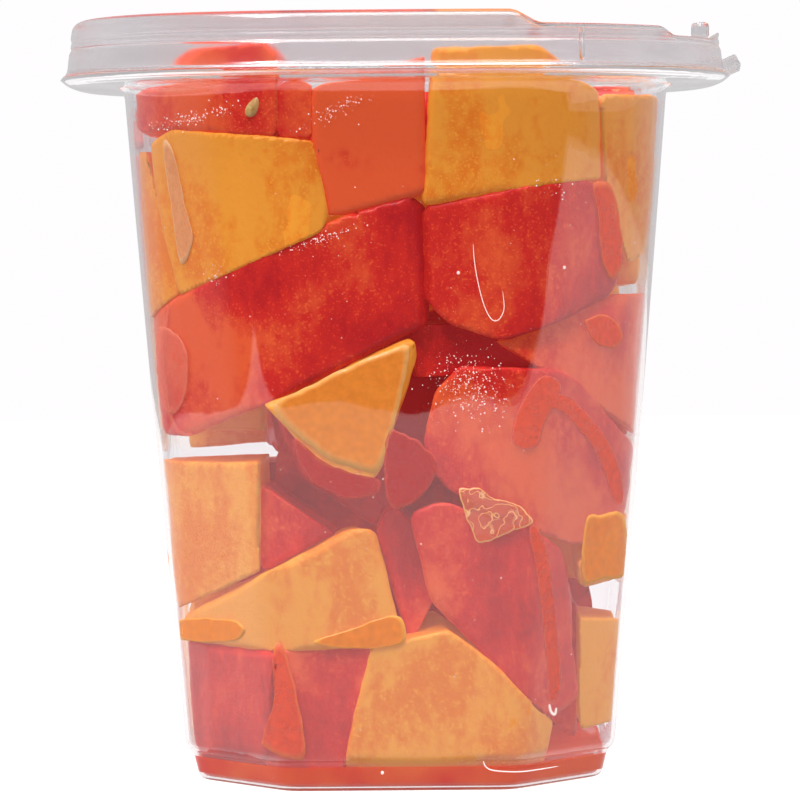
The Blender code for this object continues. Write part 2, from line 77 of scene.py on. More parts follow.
camera.rotation_quaternion = turned(CAMERA_ROLL)


# ------------------------------------------------------------------ cup
# The cup is one thin sheet of clear PET, drawn into a mould by vacuum: a square foot with cut
# corners, a stacking step, tall walls that lean out, and a wide flange turned up at its tip.
CUP_FOOT = (34.6, 0.0)
WALL_FOOT = (37.6, 6.4)     # half width and height where the straight wall starts
WALL_TOP = (47.4, 119.2)    # and where it ends
CUP_PROFILE = [(33.4, 0.0), CUP_FOOT, (35.3, 0.7), (36.2, 4.6), (37.1, 5.5), WALL_FOOT,
               WALL_TOP, (48.5, 120.4), (56.4, 120.7), (57.5, 120.95), (58.6, 121.9)]
CUP_FLOOR_RISE = 0.9        # the middle of the foot is pushed up a little
CUP_WALL = 0.7
CUP_BEND = 0.9              # how far from a corner of the profile its rounding starts
CORNER_CUT = 0.55
FOOT_SHARPNESS = 60.0
MOUTH_SHARPNESS = 15.0
SHARPNESS_RUN = 114.0       # height over which it changes
FLANGE_BEND = (118.6, 2.0)  # where the plan starts to turn round, and over what height
ROUNDS = 448                # points round the cup
TRAPPED_BOUNCES = 8.5       # light still in the sheet after these leaves it straight
SHEET_SHADE = (0.93, 0.92, 0.92, 1.0)       # what is left of a lamp's light behind the sheet


def outline_radius(angle, half_width, sharpness, roundness):
    """Distance from the axis to the wall. A square with cut corners is the power sum of its
    eight sides: each side's facing cosine over its distance, raised to the sharpness, added
    up, and the sum's inverse root. Roundness blends it into a cubic rounded square."""
    total = 0.0
    for side in range(8):
        reach = half_width * (1.0 if side % 2 == 0 else (1.0 + CORNER_CUT) / math.sqrt(2.0))
        facing = np.clip(np.cos(angle - side * math.pi / 4.0), 0.0, None)
        total = total + (facing * half_width / reach) ** sharpness
    cut = half_width * total ** (-1.0 / sharpness)
    power = np.abs(np.cos(angle)) ** 3 + np.abs(np.sin(angle)) ** 3
    return cut + (half_width * power ** (-1.0 / 3.0) - cut) * roundness


def rounded_profile(corners, reach, steps=6):
    """Profile with every inner corner replaced by a quadratic curve: it starts and ends on
    the two legs, at most reach from the corner, and pulls towards the corner between."""
    corners = np.array(corners, float)
    before, here, after = corners[:-2], corners[1:-1], corners[2:]
    back, ahead = before - here, after - here
    back_length = np.linalg.norm(back, axis=1, keepdims=True)
    ahead_length = np.linalg.norm(ahead, axis=1, keepdims=True)
    start = here + back / back_length * np.minimum(reach, 0.45 * back_length)
    end = here + ahead / ahead_length * np.minimum(reach, 0.45 * ahead_length)
    t = np.linspace(0.0, 1.0, steps)[None, :, None]
    curve = ((1 - t) ** 2 * start[:, None] + 2 * t * (1 - t) * here[:, None]
             + t ** 2 * end[:, None])
    return np.vstack([corners[:1], curve.reshape(-1, 2), corners[-1:]])


def filled_in(profile, longest):
    """Profile with points added along every leg that is longer than the given length."""
    rows = [profile[:1]]
    for start, end in zip(profile[:-1], profile[1:]):
        count = max(1, int(math.ceil(np.linalg.norm(end - start) / longest)))
        share = np.linspace(0.0, 1.0, count + 1)[1:, None]
        rows.append(start + (end - start) * share)
    return np.vstack(rows)


def set_off(profile, distance):
    """Profile moved sideways to its left by a distance: each point goes along the mean of
    its two legs' normals."""
    leg = np.diff(profile, axis=0)
    leg /= np.linalg.norm(leg, axis=1, keepdims=True) + 1e-9
    mean = np.vstack([leg[:1], (leg[1:] + leg[:-1]) / 2.0, leg[-1:]])
    normal = np.stack([-mean[:, 1], mean[:, 0]], axis=1)
    normal /= np.linalg.norm(normal, axis=1, keepdims=True) + 1e-9
    return profile + normal * distance


def new_piece(name, points, faces, material):
    """Mesh object at the origin from an array of points in millimetres and one of faces."""
    mesh = bpy.data.meshes.new(name)
    mesh.vertices.add(len(points))
    mesh.vertices.foreach_set("co", (np.asarray(points) * MM).astype(np.float32).ravel())
    sides = faces.shape[1]
    mesh.loops.add(faces.size)
    mesh.loops.foreach_set("vertex_index", faces.astype(np.int32).ravel())
    mesh.polygons.add(len(faces))
    mesh.polygons.foreach_set("loop_start", np.arange(0, faces.size, sides, dtype=np.int32))
    mesh.polygons.foreach_set("use_smooth", np.full(len(faces), True))
    mesh.update(calc_edges=True)
    mesh.validate()
    mesh.materials.append(material)
    piece = new_object(name, mesh)
    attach(piece, "root")
    return piece


def ring_faces(rows, around, closed=False):
    """Quads between neighbouring rings of a grid; closed joins the last ring to the first."""
    row = np.arange(rows if closed else rows - 1)[:, None]
    step = np.arange(around)[None, :]
    following, above = (step + 1) % around, (row + 1) % rows
    return np.stack([row * around + step, row * around + following,
                     above * around + following, above * around + step], axis=2).reshape(-1, 4)


def cup_sharpness(height):
    """Crispness of the eight edges, falling by a constant ratio from foot to mouth."""
    share = np.clip((height - WALL_FOOT[1]) / SHARPNESS_RUN, 0.0, 1.0)
    return FOOT_SHARPNESS * (MOUTH_SHARPNESS / FOOT_SHARPNESS) ** share


def cup_roundness(height):
    """Zero on the wall, one on the flange, with an even change over the bend between."""
    start, run = FLANGE_BEND
    return np.clip((height - start) / run, 0.0, 1.0) ** 1.6


def revolve_square(profile, roundness):
    """Closed skin of rings in the cup's plan through an open profile of half width and
    height; its ends lie on the axis or meet each other."""
    angle = np.linspace(0.0, 2.0 * math.pi, ROUNDS, endpoint=False)[None, :]
    half, height = profile[:, :1], profile[:, 1:]
    radius = outline_radius(angle, np.maximum(half, 1e-3), cup_sharpness(height),
                            roundness(height))
    ring = np.broadcast_to(height, radius.shape)
    return np.stack([radius * np.cos(angle), radius * np.sin(angle), ring], axis=2)


def value_node(tree, kind, **inputs):
    """New shader node with some of its inputs set by name."""
    node = tree.nodes.new("ShaderNode" + kind)
    for name, value in inputs.items():
        node.inputs[name.replace("_", " ")].default_value = value
    return node


def math_node(tree, operation, *values):
    """New maths node; values that aren't None go into its inputs in turn."""
    node = tree.nodes.new("ShaderNodeMath")
    node.operation = operation
    for socket, value in zip(node.inputs, values):
        if value is not None:
            socket.default_value = value
    return node


def attribute_node(tree, name):
    """New node that reads one of the mesh's own attributes."""
    node = tree.nodes.new("ShaderNodeAttribute")
    node.attribute_name = name
    return node


def two_colours(tree, low, high, start=0.0, end=1.0):
    """Colour ramp from one colour to another between two values."""
    ramp = tree.nodes.new("ShaderNodeValToRGB")
    for element, place, colour in zip(ramp.color_ramp.elements, (start, end), (low, high)):
        element.position, element.color = place, (*colour, 1.0)
    return ramp


def wire(tree, *joints):
    """Links, each given as a node, its output, the next node and its input."""
    for giver, output, taker, socket in joints:
        tree.links.new(giver.outputs[output], taker.inputs[socket])


def new_group(name, inputs, outputs):
    """Node group with its sockets, each a name and a kind. Gives it with its two ends."""
    group = bpy.data.node_groups.new(name, "ShaderNodeTree")
    for direction, sockets in (("INPUT", inputs), ("OUTPUT", outputs)):
        for label, kind in sockets:
            group.interface.new_socket(name=label, in_out=direction,
                                       socket_type="NodeSocket" + kind)
    return group, group.nodes.new("NodeGroupInput"), group.nodes.new("NodeGroupOutput")


def new_material(name, **inputs):
    """Material with some of its Principled shader's inputs set by name. Gives it with its
    node tree and shader."""
    material = bpy.data.materials.new(name)
    material.use_nodes = True
    shader = material.node_tree.nodes["Principled BSDF"]
    for label, value in inputs.items():
        shader.inputs[label.replace("_", " ")].default_value = value
    return material, material.node_tree, shader


def wall_ripple_group():
    """Normal of thin vacuum-formed sheet: long soft ripples and faint vertical drag lines.
    Inputs set how strong each is; the output is a normal."""
    group, enter, leave = new_group(
        "formed sheet", (("Vector", "Vector"), ("Ripple", "Float"), ("Drag", "Float")),
        (("Normal", "Vector"),))
    wide = value_node(group, "TexNoise", Scale=55.0, Detail=0.0)
    stretch = value_node(group, "Mapping", Scale=(1.0, 1.0, 0.06))
    fine = value_node(group, "TexNoise", Scale=420.0, Detail=0.0)
    first = value_node(group, "Bump", Distance=0.0012)
    second = value_node(group, "Bump", Distance=0.0002)
    wire(group, (enter, "Vector", wide, "Vector"), (enter, "Vector", stretch, "Vector"),
         (stretch, "Vector", fine, "Vector"), (wide, "Fac", first, "Height"),
         (fine, "Fac", second, "Height"), (enter, "Ripple", first, "Strength"),
         (enter, "Drag", second, "Strength"), (first, "Normal", second, "Normal"),
         (second, "Normal", leave, "Normal"))
    return group


FORMED_SHEET = wall_ripple_group()


def clear_sheet(name, tint, roughness, index, ripple, drag):
    """Clear PET: a glass-like Principled surface whose normal carries the sheet's ripples,
    and a plain see-through surface for lamps, so that they reach what is inside. Light that
    has run along inside the sheet for many bounces leaves it straight."""
    material, tree, shader = new_material(
        name, Base_Color=(*tint, 1.0), Roughness=roughness, IOR=index, Transmission_Weight=1.0)
    place = tree.nodes.new("ShaderNodeTexCoord")
    sheet = tree.nodes.new("ShaderNodeGroup")
    sheet.node_tree = FORMED_SHEET
    sheet.inputs["Ripple"].default_value = ripple
    sheet.inputs["Drag"].default_value = drag
    path = tree.nodes.new("ShaderNodeLightPath")
    lamp = math_node(tree, "MAXIMUM")
    trapped = math_node(tree, "GREATER_THAN", None, TRAPPED_BOUNCES)
    either = math_node(tree, "MAXIMUM")
    clear = value_node(tree, "BsdfTransparent", Color=SHEET_SHADE)
    mix = tree.nodes.new("ShaderNodeMixShader")
    wire(tree, (place, "Object", sheet, "Vector"), (sheet, "Normal", shader, "Normal"),
         (path, "Is Shadow Ray", lamp, 0), (path, "Is Diffuse Ray", lamp, 1),
         (path, "Ray Depth", trapped, 0), (lamp, "Value", either, 0),
         (trapped, "Value", either, 1), (either, "Value", mix, "Fac"), (shader, "BSDF", mix, 1),
         (clear, "BSDF", mix, 2), (mix, "Shader", tree.nodes["Material Output"], "Surface"))
    return material


def cup_wall_profile():
    """The cup's outside from the middle of its foot to its tip, then its inside back."""
    floor = [(0.0, CUP_FLOOR_RISE), (20.0, CUP_FLOOR_RISE), (32.0, CUP_FLOOR_RISE * 0.8)]
    outside = filled_in(rounded_profile(floor + CUP_PROFILE, CUP_BEND), 4.0)
    inside = set_off(outside, CUP_WALL)
    inside[0, 0] = 0.0
    return np.vstack([outside, inside[::-1]])


CLEAR_PET = clear_sheet("clear PET", (0.95, 0.93, 0.94), 0.015, 1.5, 0.10, 0.10)
profile = cup_wall_profile()
cup_points = revolve_square(profile, cup_roundness).reshape(-1, 3)
cup_shell = new_piece("cup_shell", cup_points, ring_faces(len(profile), ROUNDS), CLEAR_PET)
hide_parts("cup")


# ------------------------------------------------------------------ juice
# A spoonful of melon juice has run down to the foot. It wets the plastic, so it is revolved a
# little larger than the space inside and climbs the wall in a small curved edge.
JUICE_LEVEL = 3.8
JUICE_CLIMB = 0.7
INTO_WALL = 0.30            # how far the juice reaches into the wall that it wets


def own_noise(tree, **inputs):
    """New noise texture that lies in the piece's own coordinates."""
    noise = value_node(tree, "TexNoise", **inputs)
    wire(tree, (tree.nodes.new("ShaderNodeTexCoord"), "Object", noise, "Vector"))
    return noise


def juice_material():
    """Orange-red juice, cloudy with fine pulp, that lets only a little light through, with a
    painted glow of its own colour.
    """
    material, tree, shader = new_material(
        "melon juice", Roughness=0.06, IOR=1.34, Transmission_Weight=0.12,
        Specular_IOR_Level=0.1, Emission_Strength=0.25)
    cloud = own_noise(tree, Scale=90.0, Detail=4.0)
    ramp = two_colours(tree, (0.74, 0.028, 0.005), (0.84, 0.11, 0.015), 0.35, 0.65)
    wire(tree, (cloud, "Fac", ramp, "Fac"), (ramp, "Color", shader, "Base Color"),
         (ramp, "Color", shader, "Emission Color"))
    return material


reach = CUP_WALL - INTO_WALL
floor_inside = CUP_FLOOR_RISE + reach
juice_profile = np.array([(0.0, floor_inside), (31.0, floor_inside - 0.1), (33.4, reach),
                          (35.0 - reach, 1.0), (36.15 - reach, JUICE_LEVEL + JUICE_CLIMB),
                          (35.6 - reach, JUICE_LEVEL + 0.15), (34.4 - reach, JUICE_LEVEL),
                          (0.0, JUICE_LEVEL)])
juice_profile = filled_in(rounded_profile(juice_profile, 0.5), 4.0)
juice_points = revolve_square(juice_profile, lambda height: 0.0 * height).reshape(-1, 3)
juice_pool = new_piece("juice_pool", juice_points, ring_faces(len(juice_profile), ROUNDS),
                       juice_material())
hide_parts("juice")


# ------------------------------------------------------------------ cut fruit
# Ripened watermelon and cantaloupe, cut by knife into blocks and pressed in by hand. Each piece
# keeps its own flat cuts; their edges are softly worn and the flesh is grainy, wet and veined.
# Their colour carries painted light: a painted glow, lighter edges and painted shade further back.
EDGE_POWER = 90.0           # how crisp the cut edges are
FRONT_GRID = 56             # points along a side of a front chunk's grid
HIDDEN_GRID = 26
LEAST_FACE = 9.0            # square millimetres: smaller faces are only softened edges
SWELL = 0.42                # the wet flesh spreads until it meets the next chunk
WALL_ROOM = 0.80            # from the outside of the cup or lid to flesh pressed on it
SAG = 0.32                  # how far a cut face wanders over its whole length
PITTING = 0.08              # and over a few millimetres
WAVE_REACH = 3.0            # the mean of nine waves seldom passes a third
EDGE_LIGHT_POWER = 12.0                 # power that gives the wide edge mask, along which painted light lifts the flesh's colour
PAINTED_GLOW = 0.19           # painted glow: flesh and films emit their own colour, standing in for light that wanders through them


def cut_planes(node):
    """A chunk's cuts: its triangles' unit normals and distances from its middle, with the
    triangles of one cut gathered by rounding, and only cuts of some size kept."""
    mesh = node.data
    mesh.calc_loop_triangles()
    corners = np.empty(len(mesh.vertices) * 3, np.float32)
    mesh.vertices.foreach_get("co", corners)
    index = np.empty(len(mesh.loop_triangles) * 3, np.int32)
    mesh.loop_triangles.foreach_get("vertices", index)
    triangle = corners.reshape(-1, 3)[index].reshape(-1, 3, 3).astype(float) / MM
    across = np.cross(triangle[:, 1] - triangle[:, 0], triangle[:, 2] - triangle[:, 0])
    area = np.linalg.norm(across, axis=1) / 2.0
    middle = (triangle.mean(axis=1) * area[:, None]).sum(axis=0) / area.sum()
    normal = across / (2.0 * area[:, None] + 1e-12)
    away = ((triangle.mean(axis=1) - middle) * normal).sum(axis=1)
    key = np.round(np.column_stack([normal * 12.0, away / 0.6]))
    unique, group = np.unique(key, axis=0, return_inverse=True)
    group = group.reshape(-1)
    total = np.bincount(group, weights=area)
    mean = np.stack([np.bincount(group, weights=normal[:, axis] * area)
                     for axis in range(3)], axis=1)
    mean /= np.linalg.norm(mean, axis=1, keepdims=True)
    distance = np.full(len(unique), np.inf)
    np.minimum.at(distance, group, away)
    kept = total > LEAST_FACE
    return middle, mean[kept], np.maximum(distance[kept], 0.5) + SWELL


def ball_grid(count):
    """Directions over a ball: the six sides of a cube, gridded at even angles, pushed out to
    the ball; the doubled edge points are joined. Gives the directions and the quads."""
    even = np.tan(np.linspace(-math.pi / 4, math.pi / 4, count + 1))
    u, v = np.meshgrid(even, even, indexing="ij")
    one = np.ones_like(u)
    sides = [(one, u, v), (-one, v, u), (v, one, u), (u, -one, v), (u, v, one), (v, u, -one)]
    points = np.concatenate([np.stack(side, axis=2).reshape(-1, 3) for side in sides])
    row = np.arange(count)[:, None] * (count + 1)
    step = np.arange(count)[None, :]
    quad = np.stack([row + step, row + step + count + 1, row + step + count + 2,
                     row + step + 1], axis=2).reshape(-1, 4)
    quads = np.concatenate([quad + side * (count + 1) ** 2 for side in range(6)])
    points /= np.linalg.norm(points, axis=1, keepdims=True)
    unique, index = np.unique(np.round(points, 6), axis=0, return_inverse=True)
    return unique, index.reshape(-1)[quads]


def waves(points, seed, longest, shortest, count=9):
    """Smooth random relief between -1 and 1: a mean of sine waves of random direction,
    phase and length."""
    dice = np.random.default_rng(seed)
    facing = dice.normal(size=(count, 3))
    facing /= np.linalg.norm(facing, axis=1, keepdims=True)
    length = dice.uniform(shortest, longest, count)
    phase = dice.uniform(0.0, 2.0 * math.pi, count)
    return np.sin(points @ (facing * (2.0 * math.pi / length[:, None])).T + phase).mean(axis=1)


GRIDS = {count: ball_grid(count) for count in (FRONT_GRID, HIDDEN_GRID)}


def onto_edges(facing, normal, distance, cell):
    """Grid directions with those less than half a cell from an edge moved onto it. An edge
    is where the two nearest cuts are met at once, a plane through the middle whose normal is
    the difference of the cuts' normals over their distances."""
    order = np.argsort(-(facing @ normal.T) / distance, axis=1)
    for other in (1, 2):
        scaled = normal / distance[:, None]
        across = scaled[order[:, 0]] - scaled[order[:, other]]
        across /= np.linalg.norm(across, axis=1, keepdims=True)
        off = (facing * across).sum(axis=1, keepdims=True)
        facing = np.where(np.abs(off) < 0.5 * cell, facing - off * across, facing)
        facing /= np.linalg.norm(facing, axis=1, keepdims=True)
    return facing


# Chunks that spread further than the rest, or below zero less far, and in which direction.
UP, DOWN, LEFT, RIGHT = (0.0, 0.0, 1.0), (0.0, 0.0, -1.0), (-1.0, 0.0, 0.0), (1.0, 0.0, 0.0)
SPREAD = {
    "cantaloupe_left": [(UP, -1.2)],
    "watermelon_left_low": [(UP, -3.4)],
    "watermelon_side_22": [(UP, -2.6)],
    "cantaloupe_side_32": [(DOWN, -1.6)],
    "watermelon_foot_left": [(LEFT, -1.3)],
    "cantaloupe_right_low": [(DOWN, -1.2)],
    "cantaloupe_foot_right": [(UP, -2.3)],
    "watermelon_right_upper": [(LEFT, 1.8)],
    "watermelon_long": [(RIGHT, 1.6)],
    "watermelon_right": [(UP, 1.6), (LEFT, 1.0)],
    "watermelon_heart": [(UP, 1.2), (RIGHT, 1.2)],
    "watermelon_middle": [(UP, 1.5), (RIGHT, 1.0)],
    "watermelon_top_left": [(UP, 1.0)],
    "watermelon_top_middle": [(UP, 2.0)],
    "watermelon_top": [(UP, -1.6)],
}


def wall_reach(points):
    """How far out each point is, measured as the half width of the cup's plan through it:
    the largest of its two sideways distances and its scaled diagonal one."""
    across = np.abs(points[:, :2])
    return np.maximum(across.max(axis=1), across.sum(axis=1) / (1.0 + CORNER_CUT))


def wall_half(height):
    """Half width of the cup's outside at a height, along its profile."""
    line = np.array(CUP_PROFILE[1:-4])
    return np.interp(height, line[:, 1], line[:, 0])


def pressed_on_wall(points):
    """Points drawn in towards the axis where they would be in the wall, as far as needed."""
    room = wall_half(points[:, 2]) - WALL_ROOM
    points[:, :2] *= np.minimum(1.0, room / np.maximum(wall_reach(points), 1.0))[:, None]
    return points


def chunk_surface(node, grid, seed):
    """A cut block with softened edges: the distance from its middle is the inverse root of
    the power sum of facing cosine over distance for all cuts, less a small uneven relief.
    Gives points, faces, true normals, and how near each point is to an edge."""
    middle, normal, distance = cut_planes(node)
    for direction, spread in SPREAD.get(node.name, ()):
        distance = distance + spread * (normal @ np.array(direction) > 0.8)
    facing, faces = GRIDS[grid]
    facing = onto_edges(facing, normal, distance, 0.5 * math.pi / grid)
    share = np.clip(facing @ normal.T, 0.0, None) / distance
    nearest = share.max(axis=1, keepdims=True)
    ratio = share / nearest
    total = (ratio ** EDGE_POWER).sum(axis=1)
    radius = 1.0 / (nearest[:, 0] * total ** (1.0 / EDGE_POWER))
    weight = ratio ** (EDGE_POWER - 1.0) / distance
    slope = weight @ normal
    slope /= np.linalg.norm(slope, axis=1, keepdims=True)
    edge = np.clip(2.0 - 2.0 / (ratio ** EDGE_LIGHT_POWER).sum(axis=1), 0.0, 1.0)
    points = middle + facing * radius[:, None]
    relief = WAVE_REACH * SAG * waves(points, seed, 34.0, 13.0)
    relief += WAVE_REACH * PITTING * (waves(points, seed + 500, 6.0, 2.5) - 0.3)
    points = pressed_on_wall(points + facing * relief[:, None])
    return points, faces, slope, edge


def flesh_group():
    """Melon flesh: a colour from deep to bright through soft clouds, long fibres and wet
    grains, lifted by painted light near edges and moved by a tone mask that also carries
    painted light and shade. Gives colour, roughness and a relief height."""
    group, enter, leave = new_group(
        "melon flesh", (("Vector", "Vector"), ("Deep", "Color"), ("Middle", "Color"),
                        ("Bright", "Color"), ("Edge", "Float"), ("ShadedTone", "Float"),
                        ("Grain", "Float"), ("Fibre", "Float")),
        (("Color", "Color"), ("Roughness", "Float"), ("Height", "Float")))
    links = group.links

    def maths(operation, first, second):
        node = math_node(group, operation)
        for socket, value in zip(node.inputs, (first, second)):
            if isinstance(value, (int, float)):
                socket.default_value = value
            else:
                links.new(value, socket)
        return node.outputs["Value"]

    def noise(scale, detail, stretch=(1.0, 1.0, 1.0), turn=(0.0, 0.0, 0.0)):
        mapping = value_node(group, "Mapping", Scale=stretch, Rotation=turn)
        texture = value_node(group, "TexNoise", Scale=scale, Detail=detail, Roughness=0.55)
        wire(group, (enter, "Vector", mapping, "Vector"), (mapping, "Vector", texture, "Vector"))
        return texture.outputs["Fac"]

    def share(texture, amount):
        return maths("MULTIPLY", maths("SUBTRACT", texture, 0.5), amount)

    grain = enter.outputs["Grain"]
    clouds = noise(48.0, 1.0)
    fibres = noise(300.0, 2.0, (1.0, 0.7, 0.22), (0.5, 0.4, 0.3))
    wisps = noise(150.0, 2.0, (1.0, 1.0, 0.6), (0.2, 0.9, 0.1))
    grains = noise(1500.0, 1.0)
    fleck = value_node(group, "MapRange", From_Min=0.62, From_Max=0.74)
    links.new(noise(2300.0, 0.0), fleck.inputs["Value"])
    tone = maths("ADD", share(clouds, 1.7), share(fibres, enter.outputs["Fibre"]))
    tone = maths("ADD", tone, share(wisps, 1.0))
    speckle = noise(650.0, 2.0, (1.0, 1.0, 0.8), (0.3, 0.2, 0.6))
    tone = maths("ADD", tone, share(speckle, grain))
    # Painted light: near a chunk's edges the colour is lifted, standing in for light through thin
    # flesh and for highlights.
    tone = maths("ADD", maths("ADD", tone, enter.outputs["ShadedTone"]),
                 maths("MULTIPLY", enter.outputs["Edge"], 0.35))
    tone = maths("ADD", tone, maths("MULTIPLY", fleck.outputs["Result"],
                                    maths("MULTIPLY", grain, 0.45)))
    ramp = value_node(group, "MapRange")
    links.new(tone, ramp.inputs["Value"])
    low, high = group.nodes.new("ShaderNodeMix"), group.nodes.new("ShaderNodeMix")
    low.data_type = high.data_type = "RGBA"
    twice = maths("MULTIPLY", ramp.outputs["Result"], 2.0)
    links.new(twice, low.inputs["Factor"])
    links.new(maths("SUBTRACT", twice, 1.0), high.inputs["Factor"])
    wire(group, (enter, "Deep", low, 6), (enter, "Middle", low, 7), (low, 2, high, 6),
         (enter, "Bright", high, 7), (high, 2, leave, "Color"))
    links.new(maths("ADD", 0.22, maths("MULTIPLY", grains, 0.35)), leave.inputs["Roughness"])
    links.new(maths("ADD", maths("MULTIPLY", speckle, grain), maths("MULTIPLY", grains, 0.5)),
              leave.inputs["Height"])
    return group


MELON_FLESH = flesh_group()


def flesh_material(name, deep, middle, bright, grain, fibre, relief):
    """Wet fruit flesh over the flesh group, with an even painted glow of its own colour that
    stands in for light wandering through it."""
    material, tree, shader = new_material(
        name, IOR=1.38, Specular_IOR_Level=0.3, Coat_Weight=0.08, Coat_Roughness=0.15,
        Emission_Strength=PAINTED_GLOW)
    place = tree.nodes.new("ShaderNodeTexCoord")
    flesh = tree.nodes.new("ShaderNodeGroup")
    flesh.node_tree = MELON_FLESH
    for label, colour in (("Deep", deep), ("Middle", middle), ("Bright", bright)):
        flesh.inputs[label].default_value = (*colour, 1.0)
    flesh.inputs["Grain"].default_value = grain
    flesh.inputs["Fibre"].default_value = fibre
    edge, tone_and_shade = attribute_node(tree, "edge"), attribute_node(tree, "tone_and_shade")
    bump = value_node(tree, "Bump", Strength=relief, Distance=0.0006)
    wire(tree, (place, "Object", flesh, "Vector"), (edge, "Fac", flesh, "Edge"),
         (tone_and_shade, "Fac", flesh, "ShadedTone"), (flesh, "Color", shader, "Base Color"),
         (flesh, "Color", shader, "Emission Color"), (flesh, "Roughness", shader, "Roughness"),
         (flesh, "Height", bump, "Height"), (bump, "Normal", shader, "Normal"))
    return material


FLESH = {
    "watermelon": flesh_material("watermelon flesh", (0.50, 0.006, 0.010),
                                 (0.70, 0.020, 0.012), (0.86, 0.110, 0.028), 0.65, 0.50, 0.12),
    "cantaloupe": flesh_material("cantaloupe flesh", (0.83, 0.185, 0.011),
                                 (0.86, 0.215, 0.012), (0.92, 0.345, 0.034), 1.0, 0.80, 0.16),
}

# Tone of the chunks that differ from the rest: below 0.5 is deeper, above is brighter. It is
# the flesh's own ripeness and also painted light and shade: the top chunk is painted brighter
# where light falls on it, the deep inner chunks darker where shade falls.
TONE_AND_PAINTED_LIGHT = {
    "watermelon_right_upper": 0.46, "watermelon_heart": 0.10, "watermelon_heart_low": 0.08,
    "watermelon_middle": 0.24, "watermelon_centre_low": 0.46, "watermelon_long": 0.38,
    "watermelon_right": 0.56, "watermelon_top": 1.05, "watermelon_top_middle": 0.62,
    "watermelon_top_left": 0.66, "watermelon_right_middle": 1.0,
    "watermelon_foot": 0.60, "watermelon_foot_left": 0.12, "watermelon_right_lower": 0.28,
    "cantaloupe_top_left": 0.62, "cantaloupe_top_right": 0.66, "cantaloupe_wedge": 0.80,
    "cantaloupe_left_lower": 0.42, "cantaloupe_foot": 0.50, "cantaloupe_left": 0.22,
}
HIDDEN = ("_core_", "_side_", "_back_")
# How much the slow tone waves and the painted depth shade show in each fruit.
WAVES_AND_DEPTH_SHADE = {"watermelon": 1.0, "cantaloupe": 0.6}
# Painted light on the edges, for each fruit.
PAINTED_EDGE_LIGHT = {"watermelon": 0.1, "cantaloupe": 0.9}
# Painted light across a chunk: its tone falls from its lit left side to the right, and by how much
# # in a centimetre; a negative value turns it round.
SIDE_LIGHT_FADE = {"watermelon_long": 0.22, "watermelon_right_upper": 0.10, "cantaloupe_top_left": 0.14,
        "cantaloupe_top_right": 0.10, "watermelon_top_left": -0.10, "cantaloupe_foot": 0.15}


def tone_and_depth_shade(points, seed):
    """How the flesh's tone wanders over a chunk: slow waves, and painted shade that makes it
    darker the further it lies behind the cup's wall, beyond a millimetre and up to ten more."""
    behind = np.clip(wall_half(points[:, 2]) - wall_reach(points) - 1.0, 0.0, 10.0)
    return 0.10 - 0.045 * behind + 0.5 * waves(points, seed, 45.0, 12.0)


def set_mask(piece, name, values):
    """Attribute that holds one number for each of the piece's points."""
    mask = piece.data.attributes.new(name, "FLOAT", "POINT")
    mask.data.foreach_set("value", values.astype(np.float32).ravel())


chunk_nodes = sorted(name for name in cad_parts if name.split("_")[0] in FLESH)
for number, name in enumerate(chunk_nodes):
    kind = name.split("_")[0]
    hidden = any(word in name for word in HIDDEN)
    points, faces, slope, edge = chunk_surface(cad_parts[name],
                                               HIDDEN_GRID if hidden else FRONT_GRID, number)
    chunk = new_piece(name + "_flesh", points, faces, FLESH[kind])
    chunk.data.normals_split_custom_set_from_vertices(slope.tolist())
    # The tone mask: listed tone, slow waves, painted depth shade and painted side light.
    tone_and_shade = TONE_AND_PAINTED_LIGHT.get(name, 0.5) + tone_and_depth_shade(points, number + 900) * WAVES_AND_DEPTH_SHADE[kind]
    tone_and_shade -= SIDE_LIGHT_FADE.get(name, 0.0) * (points[:, 0] - points[:, 0].mean()) / 10.0
    set_mask(chunk, "edge", edge * PAINTED_EDGE_LIGHT[kind])
    set_mask(chunk, "tone_and_shade", tone_and_shade)
    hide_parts(name)


# ------------------------------------------------------------------ pressed films
# Where wet flesh is pressed onto the plastic, a film of juice and pulp joins the two. Each is
# a thin lens with a torn outline that lies on the inside of the wall.
FILM_GAP = -0.06            # from the wall's inside to a film, which reaches into the plastic
FILM_ROWS = 9
FILM_TEAR = 0.45            # how ragged the outline is
FILM_MARGIN = 1.6           # films end this far from the cup's sides


def wall_inside(x, z, inset):
    """How far in front of the axis the wall's inside lies at x and z: the angle whose wall
    point has this x, found by halving, then that point's depth. All points at once."""
    share = (z - WALL_FOOT[1]) / (WALL_TOP[1] - WALL_FOOT[1])
    half = WALL_FOOT[0] + (WALL_TOP[0] - WALL_FOOT[0]) * share - inset
    low, high = np.zeros_like(x), np.full_like(x, math.pi / 2)
    for halving in range(26):
        middle = (low + high) / 2
        outside = outline_radius(middle, half, cup_sharpness(z), 0.0) * np.cos(middle) > abs(x)
        low, high = np.where(outside, middle, low), np.where(outside, high, middle)
    return outline_radius(low, half, cup_sharpness(z), 0.0) * np.sin(low)


def smooth_line(points, closed, steps=8):
    """Catmull-Rom curve through the points: each stretch is the cubic whose ends are the
    points and whose slopes are half the span of their neighbours."""
    points = np.array(points, float)
    if closed:
        ring = np.vstack([points[-1:], points, points[:2]])
    else:
        ring = np.vstack([2 * points[:1] - points[1:2], points, 2 * points[-1:] - points[-2:-1]])
    a, b, c, d = (ring[start:len(ring) - 3 + start][:, None] for start in range(4))
    t = np.linspace(0.0, 1.0, steps, endpoint=False)[None, :, None]
    curve = 0.5 * (2 * b + (c - a) * t + (2 * a - 5 * b + 4 * c - d) * t ** 2
                   + (3 * b - a - 3 * c + d) * t ** 3)
    curve = curve.reshape(-1, 2)
    return curve if closed else np.vstack([curve, points[-1:]])


